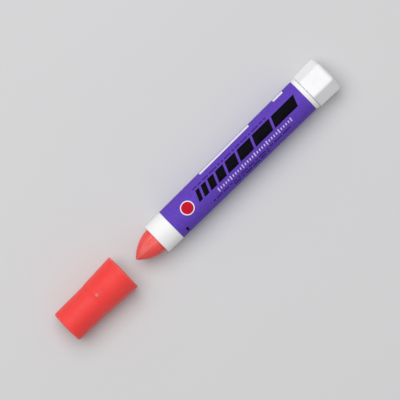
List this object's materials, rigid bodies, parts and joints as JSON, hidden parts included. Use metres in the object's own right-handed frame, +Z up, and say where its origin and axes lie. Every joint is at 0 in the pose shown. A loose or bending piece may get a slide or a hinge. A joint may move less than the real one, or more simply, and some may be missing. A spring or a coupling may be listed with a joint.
{
  "type": "solid paint marker",
  "caption": "Twist-up solid paint marker: a hexagonal knob turns a screw that feeds a pointed paint stick out of a labelled barrel, with a stepped push-on cap lying off its nose.",
  "frame": {"origin": "middle of the bottom of the whole set, on the surface it lies on", "axes": "+X along the marker's axis from the cap to the knob, +Z up from the surface"},
  "size_m": [0.1704, 0.0194, 0.0192],
  "materials": {
    "barrel": "white, satin moulded",
    "label": "purple printed film, satin",
    "knob": "white, satin moulded",
    "screw": "natural, moulded",
    "carrier": "natural, moulded",
    "paint": "solid waxy paint, coral red",
    "cap": "red, smooth moulded"
  },
  "bodies": {
    "barrel": {"barrel": "barrel", "label": "label"},
    "knob": {"turn_knob": "knob", "feed_screw": "screw"},
    "paint": {"carrier": "carrier", "paint_stick": "paint"},
    "cap": {"cap": "cap"}
  },
  "joints": [
    {"name": "knob_turn", "type": "hinge", "parent": "barrel", "child": "knob", "pos_m": [0.07147, 0, 0.0096], "axis": [-1, 0, 0], "range_deg": [-1224, 1080]},
    {"name": "paint_feed", "type": "slide", "parent": "barrel", "child": "paint", "axis": [-1, 0, 0], "range_m": [-0.01361, 0.01201]},
    {"name": "cap_slide", "type": "slide", "parent": "barrel", "child": "cap", "axis": [1, 0, 0], "range_m": [0, 0.0308]}
  ],
  "couplings": [
    {"joint": "paint_feed", "follows": "knob_turn", "m_per_rad": 0.00063662}
  ]
}
